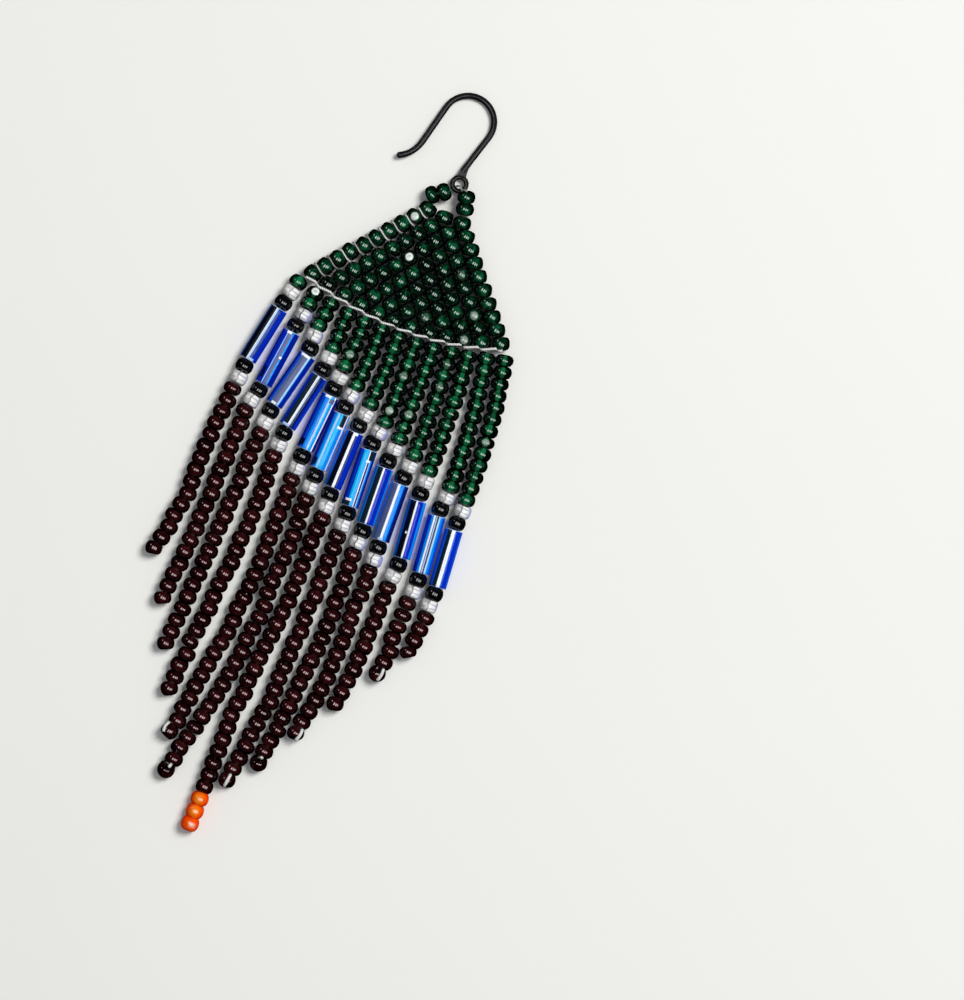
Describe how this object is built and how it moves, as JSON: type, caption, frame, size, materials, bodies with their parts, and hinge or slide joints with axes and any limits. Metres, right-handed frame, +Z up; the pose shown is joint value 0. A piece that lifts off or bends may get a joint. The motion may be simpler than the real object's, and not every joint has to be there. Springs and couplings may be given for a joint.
{
  "type": "beaded fringe earring",
  "caption": "Wire ear hook carrying a brick stitch bead triangle with a long fringe of bead strings and blue bugle beads.",
  "frame": {"origin": "middle of the earring's box in plan, on the surface that it lies on", "axes": "+Y from the fringe towards the hook, +Z up from the surface, out of the earring's face, +X to the right seen from its face"},
  "size_m": [0.0336, 0.0906, 0.0025],
  "materials": {
    "hook_metal": "black satin wire",
    "thread": "matt white beading thread",
    "green_glass": "dark green clear glass",
    "crystal_glass": "clear glass",
    "black_glass": "glossy black opaque glass",
    "blue_glass": "blue glass lined with silver, with lengthwise streaks",
    "brown_glass": "glossy dark brown opaque glass",
    "orange_glass": "glossy orange opaque glass"
  },
  "bodies": {
    "root": {"ear_hook": "hook_metal", "hanger_thread": "thread", "hanger_beads": "green_glass", "brick_panel": "green_glass", "green_string_01": "green_glass", "bugle_bead_01": "blue_glass", "brown_string_01": "brown_glass", "green_string_02": "green_glass", "bugle_bead_02": "blue_glass", "brown_string_02": "brown_glass", "green_string_03": "green_glass", "bugle_bead_03": "blue_glass", "brown_string_03": "brown_glass", "green_string_04": "green_glass", "bugle_bead_04": "blue_glass", "brown_string_04": "brown_glass", "green_string_05": "green_glass", "bugle_bead_05": "blue_glass", "brown_string_05": "brown_glass", "green_string_06": "green_glass", "bugle_bead_06": "blue_glass", "brown_string_06": "brown_glass", "green_string_07": "green_glass", "bugle_bead_07": "blue_glass", "brown_string_07": "brown_glass", "green_string_08": "green_glass", "bugle_bead_08": "blue_glass", "brown_string_08": "brown_glass", "green_string_09": "green_glass", "bugle_bead_09": "blue_glass", "brown_string_09": "brown_glass", "green_string_10": "green_glass", "bugle_bead_10": "blue_glass", "brown_string_10": "brown_glass", "green_string_11": "green_glass", "bugle_bead_11": "blue_glass", "brown_string_11": "brown_glass", "green_string_12": "green_glass", "bugle_bead_12": "blue_glass", "brown_string_12": "brown_glass", "green_string_13": "green_glass", "bugle_bead_13": "blue_glass", "brown_string_13": "brown_glass", "crystal_beads": "crystal_glass", "black_beads": "black_glass", "orange_beads": "orange_glass", "accent_threads": "thread"}
  },
  "joints": []
}
